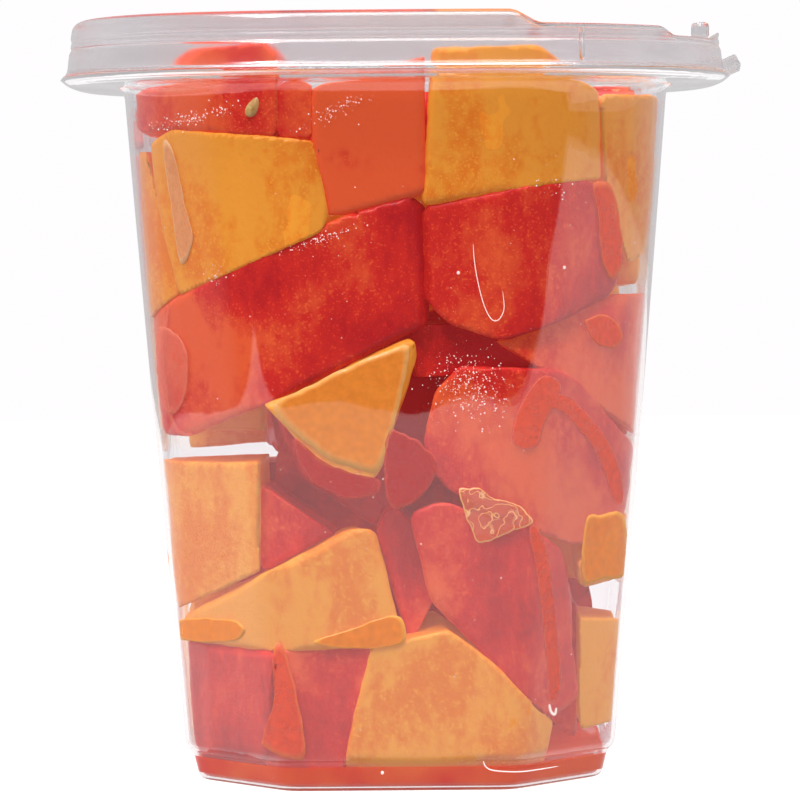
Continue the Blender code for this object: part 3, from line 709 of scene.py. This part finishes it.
def film_points(outline, thickness, seed):
    """Lens on the wall: rings from the outline's middle to its edge and back behind. The
    back lies behind the front by the thickness times the root of one less the ring's share
    squared. The outline is roughened a little."""
    curve = smooth_line(outline, True)
    middle = curve.mean(axis=0)
    around = np.column_stack([curve, np.zeros(len(curve))])
    far = np.linalg.norm(curve - middle, axis=1)
    ragged = 1.0 + FILM_TEAR * waves(around, seed, 4.0, 1.2) / far
    share = np.linspace(0.0, 1.0, FILM_ROWS)
    share = np.concatenate([share, share[::-1]])[:, None, None]
    flat = middle + (curve - middle) * ragged[:, None] * share
    depth = thickness * np.sqrt(np.clip(1.0 - share[..., 0] ** 2, 0.0, 1.0))
    behind = (np.arange(2 * FILM_ROWS) >= FILM_ROWS)[:, None]
    inset = CUP_WALL + FILM_GAP + np.where(behind, depth + 0.01, 0.0)
    z = flat[..., 1]
    x = np.clip(flat[..., 0], FILM_MARGIN - wall_half(z), wall_half(z) - FILM_MARGIN)
    points = np.stack([x, -wall_inside(x, z, inset), z], axis=2).reshape(-1, 3)
    return points, ring_faces(2 * FILM_ROWS, len(curve)), np.broadcast_to(share[..., 0], x.shape)


def strand_points(path, width, thickness):
    """Flat strand on the wall along a path: an oval section, wide along the wall and thin
    across it, that narrows to nothing at both ends."""
    line = smooth_line(path, False)
    along = np.gradient(line, axis=0)
    along /= np.linalg.norm(along, axis=1, keepdims=True)
    turn = np.linspace(0.0, 2.0 * math.pi, 12, endpoint=False)[None, :]
    place = np.linspace(-1.0, 1.0, len(line))[:, None]
    taper = np.sqrt(np.clip(1.0 - place ** 6, 1e-4, 1.0))
    x = line[:, :1] + along[:, 1:] * np.cos(turn) * taper * width / 2
    z = line[:, 1:] - along[:, :1] * np.cos(turn) * taper * width / 2
    inset = CUP_WALL + FILM_GAP + thickness / 2 * (1.0 - np.sin(turn) * taper)
    points = np.stack([x, -wall_inside(x, z, inset), z], axis=2).reshape(-1, 3)
    return points, ring_faces(len(line), 12)


def film_material(name, colour, rim_colour, least, most):
    """Juice and pulp smeared on plastic: see-through by an uneven alpha that rises at the
    rim, where the film gathers in a brighter line. It has a painted glow of its own colour."""
    material, tree, shader = new_material(name, Roughness=0.15, IOR=1.36,
                                          Emission_Strength=PAINTED_GLOW)
    rim = attribute_node(tree, "rim")
    pulp = own_noise(tree, Scale=420.0, Detail=4.0, Roughness=0.6)
    thin = value_node(tree, "MapRange", From_Min=0.35, From_Max=0.65, To_Min=least, To_Max=most)
    line = value_node(tree, "MapRange", From_Min=0.86, From_Max=0.97)
    more = math_node(tree, "MULTIPLY_ADD", None, 0.22)
    tint = tree.nodes.new("ShaderNodeMix")
    tint.data_type = "RGBA"
    tint.inputs[6].default_value = (*colour, 1.0)
    tint.inputs[7].default_value = (*rim_colour, 1.0)
    wire(tree, (pulp, "Fac", thin, "Value"), (rim, "Fac", line, "Value"),
         (line, "Result", more, 0), (thin, "Result", more, 2), (more, "Value", shader, "Alpha"),
         (line, "Result", tint, "Factor"), (tint, 2, shader, "Base Color"),
         (tint, 2, shader, "Emission Color"))
    return material


RED_FILM = film_material("red pulp film", (0.80, 0.075, 0.020), (0.80, 0.17, 0.06), 0.45, 0.75)
ORANGE_FILM = film_material("orange pulp film", (0.86, 0.24, 0.008), (0.88, 0.38, 0.06), 0.60,
                            0.85)
PINK_FILM = film_material("pink pulp film", (0.78, 0.17, 0.11), (0.80, 0.22, 0.14), 0.18, 0.45)
DEEP_FILM = film_material("deep pulp film", (0.54, 0.030, 0.028), (0.64, 0.09, 0.07), 0.25, 0.6)
WEDGE_FILM = film_material("golden pulp film", (0.84, 0.265, 0.030), (0.86, 0.42, 0.12), 0.62,
                           0.9)
PALE_FILM = film_material("pale pulp film", (0.78, 0.36, 0.16), (0.82, 0.48, 0.24), 0.35, 0.6)

# Each film's name, finish, thickness and outline on the front wall, in millimetres.
FILMS = [
    ("film_long", PINK_FILM, 0.20,
     [(-40.6, 79.0), (-37.7, 78.4), (-35.9, 75.8), (-35.5, 71.2), (-36.4, 66.7), (-38.6, 64.2),
      (-40.4, 66.6), (-41.0, 73.1)]),
    ("film_right_upper", RED_FILM, 0.2,
     [(33.1, 102.7), (35.9, 103.2), (37.6, 98.3), (38.3, 92.3), (37.9, 88.4), (36.0, 87.1),
      (34.5, 91.2), (34.0, 97.4)]),
    ("film_right_middle", RED_FILM, 0.2,
     [(31.7, 80.0), (34.5, 81.0), (37.0, 79.9), (38.3, 77.1), (36.7, 75.1), (34.0, 75.9),
      (32.4, 77.6)]),
    ("film_left_lower", ORANGE_FILM, 0.25,
     [(-38.2, 28.0), (-33.3, 29.0), (-27.0, 29.0), (-26.5, 26.7), (-29.8, 25.4), (-37.7, 24.9)]),
    ("film_middle_lower", ORANGE_FILM, 0.25,
     [(-14.2, 26.2), (-9.1, 28.0), (-1.2, 30.5), (0.8, 29.1), (0.8, 26.0), (-3.3, 25.0),
      (-11.7, 25.2)]),
    ("film_foot", RED_FILM, 0.2,
     [(-21.3, 24.1), (-19.3, 24.5), (-16.2, 7.0), (-22.4, 7.4), (-23.2, 9.6), (-21.3, 15.9)]),
    ("film_top_left", PALE_FILM, 0.2,
     [(-39.3, 110.2), (-37.6, 109.6), (-35.6, 100.4), (-34.3, 94.3), (-36.4, 90.0),
      (-37.7, 97.6)]),
    ("film_right_low", ORANGE_FILM, 0.2,
     [(31.7, 45.5), (34.5, 46.4), (38.6, 45.9), (38.9, 36.0), (34.5, 35.4), (31.3, 35.2)]),
    ("film_centre", DEEP_FILM, 0.2,
     [(-17.4, 60.8), (-13.4, 57.5), (-8.9, 55.1), (-3.4, 53.7), (-3.5, 51.5), (-8.1, 50.4),
      (-13.1, 52.4), (-16.4, 56.0)]),
    ("film_centre_right", DEEP_FILM, 0.15,
     [(-1.9, 61.6), (0.4, 61.6), (3.7, 59.9), (6.4, 57.0), (5.9, 53.6), (2.5, 49.8),
      (-0.9, 48.8), (-2.2, 52.5)]),
    ("film_wedge", WEDGE_FILM, 0.1,
     [(-21.0, 66.0), (-16.3, 69.0), (-8.7, 72.5), (-2.0, 75.3), (1.9, 76.4), (1.8, 73.4),
      (0.3, 66.7), (-1.6, 60.0), (-3.5, 55.1), (-7.2, 55.6), (-11.7, 57.3), (-16.0, 60.7)]),
]
# Each strand's name, finish, width, thickness and path on the front wall, in millimetres.
STRANDS = [
    ("strand_band", RED_FILM, 5.0, 0.22, [(26.5, 70.5), (24.0, 67.0), (22.0, 63.0), (21.2, 58.5)]),
    ("strand_edge", RED_FILM, 2.8, 0.2,
     [(24.5, 66.5), (28.0, 66.0), (31.5, 62.5), (34.5, 58.5), (36.6, 53.5), (38.0, 47.5)]),
    ("strand_lower", RED_FILM, 2.4, 0.25,
     [(22.3, 46.2), (23.9, 40.0), (24.9, 32.3), (25.6, 25.4), (26.1, 18.4), (25.6, 14.6)]),
    ("strand_long", PINK_FILM, 0.7, 0.2,
     [(-38.6, 83.5), (-39.9, 76.6), (-39.8, 69.7), (-38.4, 62.9), (-36.4, 60.9), (-34.8, 61.1)]),
]
for number, (name, finish, thickness, outline) in enumerate(FILMS):
    points, faces, share = film_points(outline, thickness, 900 + number)
    film = new_piece(name, points, faces, finish)
    set_mask(film, "rim", share)
for name, finish, width, thickness, path in STRANDS:
    points, faces = strand_points(path, width, thickness)
    strand = new_piece(name, points, faces, finish)


# ------------------------------------------------------------------ drips and droplets
# Clear juice that has run down the inside of the wall and stayed: one long drip that turns back
# up,
# # a whitish tongue, a line along the foot, and about a thousand small drops. The juice is painted
# # whitish and glows, a painted glint on every drop and drip.
DRIPS = [
    ("drip_upper", 0.15, 0.15,
     [(12.8, 93.4), (13.0, 90.4), (13.6, 86.7), (14.6, 82.9), (15.8, 80.6), (17.0, 80.5),
      (17.9, 82.3), (17.7, 85.4)]),
    ("drip_lower", 0.5, 0.4, [(25.2, 14.6), (25.5, 13.2), (26.2, 12.6), (26.5, 13.8)]),
    ("drip_foot", 0.22, 0.2, [(14.0, 5.4), (14.6, 4.2), (16.2, 3.6), (21.0, 3.3), (27.3, 3.3)]),
]
# Where the small drops sit: middle x and z, spreads, turn in degrees and how many.
DROPS = [
    (-33.8, 114.8, 4.2, 0.6, 12.0, 170), (-9.0, 116.0, 3.4, 0.7, 28.0, 110),
    (-12.5, 94.3, 3.0, 0.4, 20.0, 90), (12.5, 69.3, 3.4, 2.8, -30.0, 420),
    (-30.0, 88.2, 1.4, 1.2, 0.0, 30), (27.0, 102.5, 3.0, 1.4, -20.0, 30),
    (-5.0, 57.0, 2.4, 1.6, -35.0, 60), (0.0, 62.0, 26.0, 34.0, 0.0, 120),
]
DROP_WIDTH = (36.0, 0.05)   # drops stay this near the middle, and how much wider with height
DROP_GAP = 0.03
DROP_HEIGHT = 0.9           # in shares of a drop's half width
DROP_TALL = 1.15
LARGE_DROPS = [(10.3, 88.4, 0.28), (28.0, 89.1, 0.28), (36.3, 45.9, 0.4), (-3.1, 3.4, 0.3)]


def drop_shapes(x, z, size):
    """Flat round drops on the wall, one ring grid each: six rings of ten points, whose
    distance from the drop's middle is the ring's sine and whose height is its cosine."""
    turn = np.linspace(0.0, 2.0 * math.pi, 10, endpoint=False)[None, None, :]
    fall = np.linspace(0.02, math.pi - 0.02, 6)[None, :, None]
    px = x[:, None, None] + size[:, None, None] * np.sin(fall) * np.cos(turn)
    pz = z[:, None, None] + size[:, None, None] * np.sin(fall) * np.sin(turn) * DROP_TALL
    inset = CUP_WALL + DROP_GAP + DROP_HEIGHT * size[:, None, None] * (1.0 - np.cos(fall)) / 2
    inset = np.broadcast_to(inset, px.shape)
    points = np.stack([px, -wall_inside(px, pz, inset), pz], axis=3).reshape(-1, 3)
    one = ring_faces(6, 10)
    return points, (one[None] + np.arange(len(x))[:, None, None] * 60).reshape(-1, 4)


def glinting_juice():
    """Clear, faintly orange melon juice, painted whitish with a pinkish white glow: painted
    glints on the drops and drips.
    """
    material, tree, shader = new_material(
        "glinting juice", Roughness=0.12, IOR=1.36, Transmission_Weight=0.5,
        Emission_Color=(1.0, 0.85, 0.80, 1.0), Emission_Strength=0.35)
    cloud = own_noise(tree, Scale=300.0, Detail=2.0)
    ramp = two_colours(tree, (1.0, 0.86, 0.78), (1.0, 0.96, 0.92))
    wire(tree, (cloud, "Fac", ramp, "Fac"), (ramp, "Color", shader, "Base Color"))
    return material


GLINTING_JUICE = glinting_juice()
for name, width, thickness, path in DRIPS:
    points, faces = strand_points(path, width, thickness)
    drip = new_piece(name, points, faces, GLINTING_JUICE)
dice = np.random.default_rng(41)
spots = []
for x, z, wide, tall, lean, count in DROPS:
    u, v = dice.normal(size=(2, count))
    lean = math.radians(lean)
    spots.append(np.stack([x + u * wide * math.cos(lean) - v * tall * math.sin(lean),
                           z + u * wide * math.sin(lean) + v * tall * math.cos(lean),
                           0.045 + 0.10 * dice.uniform(0.0, 1.0, count) ** 3], axis=1))
x, z, size = np.vstack(spots + [np.array(LARGE_DROPS)]).T
inside = (np.abs(x) < DROP_WIDTH[0] + DROP_WIDTH[1] * z) & (z > 2.0) & (z < 118.0)
points, faces = drop_shapes(x[inside], z[inside], size[inside])
drops = new_piece("juice_drops", points, faces, GLINTING_JUICE)


# ------------------------------------------------------------------ seed and membrane
# A pale unripe watermelon seed lies in the flesh near the top, and a torn, crumpled bit of
# cantaloupe membrane sticks to the front wall.
SEED_PLACE = (-23.6, 116.4)
SEED_SIZE = (0.95, 0.55, 1.9)
SEED_LEAN = 28.0
MEMBRANE = [(10.2, 51.8), (12.1, 52.1), (13.8, 51.9), (15.9, 50.5), (18.8, 49.7), (21.1, 48.3),
            (22.6, 46.2), (19.6, 44.9), (17.1, 43.9), (14.2, 42.9), (12.9, 43.4), (11.2, 48.0)]


def seed_points():
    """Drop-shaped seed: an oval ball whose width falls off towards its upper end."""
    fall = np.linspace(0.0, math.pi, 20)[:, None]
    turn = np.linspace(0.0, 2.0 * math.pi, 28, endpoint=False)[None, :]
    narrow = 1.0 - 0.35 * np.cos(fall)
    x = SEED_SIZE[0] * np.sin(fall) * np.cos(turn) * narrow
    y = SEED_SIZE[1] * np.sin(fall) * np.sin(turn) * narrow
    z = SEED_SIZE[2] * np.cos(fall) + 0.0 * turn
    lean = math.radians(SEED_LEAN)
    along = x * math.cos(lean) + z * math.sin(lean)
    up = z * math.cos(lean) - x * math.sin(lean)
    depth = wall_inside(np.array([SEED_PLACE[0]]), np.array([SEED_PLACE[1]]), CUP_WALL + 0.6)[0]
    return np.stack([SEED_PLACE[0] + along, y - depth, SEED_PLACE[1] + up], axis=2).reshape(-1, 3)


def skin_material(name, dark, pale, scale):
    """Thin pale plant skin, mottled between two colours, wet on top."""
    material, tree, shader = new_material(name, Roughness=0.25, Coat_Weight=0.4)
    mottle = own_noise(tree, Scale=scale, Detail=4.0, Roughness=0.6)
    ramp = two_colours(tree, dark, pale, 0.35, 0.65)
    bump = value_node(tree, "Bump", Strength=0.4, Distance=0.0004)
    wire(tree, (mottle, "Fac", ramp, "Fac"), (ramp, "Color", shader, "Base Color"),
         (mottle, "Fac", bump, "Height"), (bump, "Normal", shader, "Normal"))
    return material


def membrane_material():
    """Torn melon membrane: see-through, with brighter orange creases and outline, and a
    painted glow that is brightest there.
    """
    material = skin_material("melon membrane", (0.72, 0.13, 0.05), (0.95, 0.52, 0.20), 260.0)
    tree = material.node_tree
    shader, ramp = tree.nodes["Principled BSDF"], tree.nodes["Color Ramp"]
    # Painted glow: the membrane emits its colour, brightest on its creases and outline.
    shader.inputs["Emission Strength"].default_value = 0.2
    crease = own_noise(tree, Scale=480.0, Detail=1.0)
    off = math_node(tree, "SUBTRACT", None, 0.5)
    size = math_node(tree, "ABSOLUTE")
    rim = attribute_node(tree, "rim")
    steep = math_node(tree, "POWER", None, 14.0)
    line = value_node(tree, "MapRange", From_Max=0.035, To_Min=0.8, To_Max=0.15)
    most = math_node(tree, "MAXIMUM")
    cover = value_node(tree, "MapRange", To_Min=0.30, To_Max=0.95)
    wire(tree, (crease, "Fac", off, 0), (off, "Value", size, 0),
         (size, "Value", line, "Value"), (rim, "Fac", steep, 0), (steep, "Value", most, 0),
         (line, "Result", most, 1), (most, "Value", ramp, "Fac"), (most, "Value", cover, "Value"),
         (cover, "Result", shader, "Alpha"), (ramp, "Color", shader, "Emission Color"))
    return material


seed = new_piece("pale_seed", seed_points(), ring_faces(20, 28),
                 skin_material("pale seed", (0.62, 0.30, 0.07), (0.72, 0.50, 0.18), 900.0))

points, faces, share = film_points(MEMBRANE, 0.2, 77)
crease = np.abs(waves(points, 78, 7.0, 2.2, 5)) ** 0.6
points[:, 1] += 0.22 * (1.0 - crease) * (1.0 - share.reshape(-1) ** 4)
flake = new_piece("membrane_sheet", points, faces, membrane_material())
set_mask(flake, "rim", share)
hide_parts("membrane_flake")


# ------------------------------------------------------------------ lid
# The lid is a second clear sheet: a raised crown, a slope down to a lower deck on the hinge
# side, a finger ledge and a rim, in one revolved skin that is held under the lid's height at
# each x. Its skirt sits inside the cup's turned-up flange.
LID_TOP = 131.8
# Half width and height up the lid's wall, with the shallow beads that run round it.
LID_SKIRT = [(57.9, 122.5), (57.4, 123.4), (57.05, 126.5), (56.6, 127.0), (56.85, 127.6),
             (56.55, 128.4), (56.8, 128.9), (56.6, 130.0)]
LID_EDGE = 1.8              # how round the edge of the crown is
LID_WALL = 0.6
RIB_PLACE = (30.7, 126.0)   # x and height of the upright rib's middle
RIB_SIZE = (0.45, 2.9, 0.35)    # half its width, height and depth
LID_HEIGHTS = [(-60.0, LID_TOP), (19.5, LID_TOP), (23.5, 129.5), (44.5, 129.2), (46.5, 127.7),
               (54.4, 127.7), (55.2, 129.1), (60.0, 129.1)]


def lid_ceiling(x, inset):
    """Height of the lid's top at x, a polyline with rounded corners, less the wall."""
    line = rounded_profile(LID_HEIGHTS, 0.8)
    return np.interp(x, line[:, 0], line[:, 1]) - inset


def lid_rows():
    """The lid's profile from the skirt's foot over the edge to the middle of the crown, with
    rows close together where the top changes height."""
    turn = np.radians(np.linspace(0.0, 90.0, 8))[:, None]
    edge = np.hstack([LID_SKIRT[-1][0] - LID_EDGE * (1 - np.cos(turn)),
                      LID_TOP - LID_EDGE * (1 - np.sin(turn))])
    wall = filled_in(rounded_profile(LID_SKIRT, 0.5, 4), 0.8)
    across = np.concatenate([np.linspace(54.3, 42.0, 24), np.linspace(41.0, 29.0, 8),
                             np.linspace(28.0, 16.5, 22), np.linspace(14.0, 0.0, 6)])[:, None]
    return np.vstack([wall[:-1], edge, np.hstack([across, np.full_like(across, LID_TOP)])])


def lid_shell():
    """Outside and inside of the lid: rings in the rounded square's plan, each point held
    under the lid's top height at its x. The inside is drawn in by the wall."""
    rows = lid_rows()
    angle = np.linspace(0.0, 2.0 * math.pi, ROUNDS, endpoint=False)[None, :]
    skins = []
    for inset in (0.0, LID_WALL):
        half = np.maximum(rows[:, :1] - inset, 0.0)
        radius = outline_radius(angle, np.maximum(half, 1e-3), MOUTH_SHARPNESS, 1.0)
        x, y = radius * np.cos(angle), radius * np.sin(angle)
        top = lid_ceiling(x, inset)
        height = np.minimum(np.broadcast_to(rows[:, 1:], x.shape), top)
        skins.append(np.stack([x, y, height], axis=2))
    return np.concatenate([skins[0], skins[1][::-1]]), len(rows) * 2


lid_points, lid_count = lid_shell()
LID_PET = clear_sheet("clear PET lid", (0.94, 0.915, 0.93), 0.12, 1.5, 0.28, 0.06)
lid_cap = new_piece("lid_cap", lid_points.reshape(-1, 3), ring_faces(lid_count, ROUNDS, True),
                    LID_PET)
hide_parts("lid")


def rib_points():
    """Upright rib on the lid's front wall: half an oval, narrowing to nothing at its ends."""
    turn = np.linspace(0.0, 2.0 * math.pi, 12, endpoint=False)[None, :]
    rise = np.linspace(-1.0, 1.0, 14)[:, None]
    narrow = np.sqrt(np.clip(1.0 - rise ** 8, 1e-4, 1.0))
    z = RIB_PLACE[1] + rise * RIB_SIZE[1] + 0.0 * turn
    half = np.interp(z, [row[1] for row in LID_SKIRT], [row[0] for row in LID_SKIRT])
    angle = np.arctan2(-half, RIB_PLACE[0])
    front = -outline_radius(angle, half, MOUTH_SHARPNESS, 1.0) * np.sin(angle)
    x = RIB_PLACE[0] + RIB_SIZE[0] * np.cos(turn) * narrow
    return np.stack([x, -front - RIB_SIZE[2] * np.sin(turn) * narrow, z], axis=2).reshape(-1, 3)


lid_rib = new_piece("lid_rib", rib_points(), ring_faces(14, 12), LID_PET)
for name in ("hinge_strip", "lock_button"):
    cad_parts[name].data.materials.clear()
    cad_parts[name].data.materials.append(LID_PET)


# ------------------------------------------------------------------ studio
# A white table that ends some way in front of the cup, a pale backdrop and ceiling, a dark
# room in front, soft boxes above and at both sides, and one small hard lamp.
TABLE = (-0.40, 1.00, -0.33, 1.20)          # its left, right, near and far edge
TABLE_MIRRORED = 0.74       # how bright the table is in the plastic, and seen through it
TABLE_CAST = 0.02           # how much light it throws back on the fruit
BACKDROP_GREY = 0.62
ROOM_GREY = 0.10
CEILING_GREY = 0.62
LAMPS_AIM = (0.0, 0.0, 0.06)

table_mesh = bpy.data.meshes.new("table")
table_mesh.from_pydata([(TABLE[0], TABLE[2], 0.0), (TABLE[1], TABLE[2], 0.0),
                        (TABLE[1], TABLE[3], 0.0), (TABLE[0], TABLE[3], 0.0)], [], [(0, 1, 2, 3)])
table = new_object("table", table_mesh)
white, white_tree, paint = new_material(
    "white table", Base_Color=(0.25, 0.25, 0.25, 1.0), Roughness=0.6,
    Emission_Color=(1.0, 1.0, 1.0, 1.0))
path = white_tree.nodes.new("ShaderNodeLightPath")
shine = value_node(white_tree, "MapRange", To_Min=TABLE_MIRRORED, To_Max=1.0)
dimmed = value_node(white_tree, "MapRange", To_Max=TABLE_CAST)
wire(white_tree, (path, "Is Camera Ray", shine, "Value"),
     (path, "Is Diffuse Ray", dimmed, "Value"), (shine, "Result", dimmed, "To Min"),
     (dimmed, "Result", paint, "Emission Strength"))
table_mesh.materials.append(white)


def soft_box(name, place, size, power):
    """Rectangular lamp at a place, turned towards the cup, unseen by the camera."""
    light = bpy.data.lights.new(name, "AREA")
    light.shape = "RECTANGLE"
    light.size, light.size_y = size
    light.energy = power
    box = new_object(name, light)
    box.location = place
    way = box.location - type(box.location)(LAMPS_AIM)
    box.rotation_euler = way.to_track_quat("Z", "Y").to_euler()
    box.visible_camera = False
    return box


soft_box("overhead box", (0.0, -0.40, 1.0), (0.8, 0.7), 10.4)
for side in (soft_box("left box", (-0.95, -0.25, 0.45), (0.5, 0.6), 2.9),
             soft_box("right box", (0.95, -0.25, 0.45), (0.4, 0.5), 1.1)):
    side.visible_glossy = False
    side.visible_transmission = False
soft_box("small hard lamp", (-0.35, -0.80, 0.95), (0.08, 0.08), 3.4)

world = bpy.data.worlds.new("studio")
bpy.context.scene.world = world
world.use_nodes = True
tree = world.node_tree
sky = tree.nodes["Background"]
coordinates = tree.nodes.new("ShaderNodeTexCoord")
parts = tree.nodes.new("ShaderNodeSeparateXYZ")
depth = value_node(tree, "MapRange", From_Min=-0.15, From_Max=0.35, To_Min=ROOM_GREY,
                   To_Max=BACKDROP_GREY)
ceiling = value_node(tree, "MapRange", From_Min=0.05, From_Max=0.35, To_Max=CEILING_GREY)
lighter = math_node(tree, "MAXIMUM")
seen = tree.nodes.new("ShaderNodeLightPath")
mix = tree.nodes.new("ShaderNodeMix")
mix.data_type = "FLOAT"
mix.inputs[3].default_value = 1.0
wire(tree, (coordinates, "Generated", parts, "Vector"), (parts, "Y", depth, "Value"),
     (seen, "Is Camera Ray", mix, "Factor"), (parts, "Z", ceiling, "Value"),
     (depth, "Result", lighter, 0), (ceiling, "Result", lighter, 1),
     (lighter, "Value", mix, 2), (mix, 0, sky, "Strength"))
sky.inputs["Color"].default_value = (1.0, 0.985, 1.0, 1.0)
bpy.context.scene.view_settings.view_transform = "Standard"
cycles = bpy.context.scene.cycles
cycles.caustics_reflective = cycles.caustics_refractive = False
cycles.max_bounces = cycles.transmission_bounces = cycles.glossy_bounces = 12
cycles.diffuse_bounces = 2
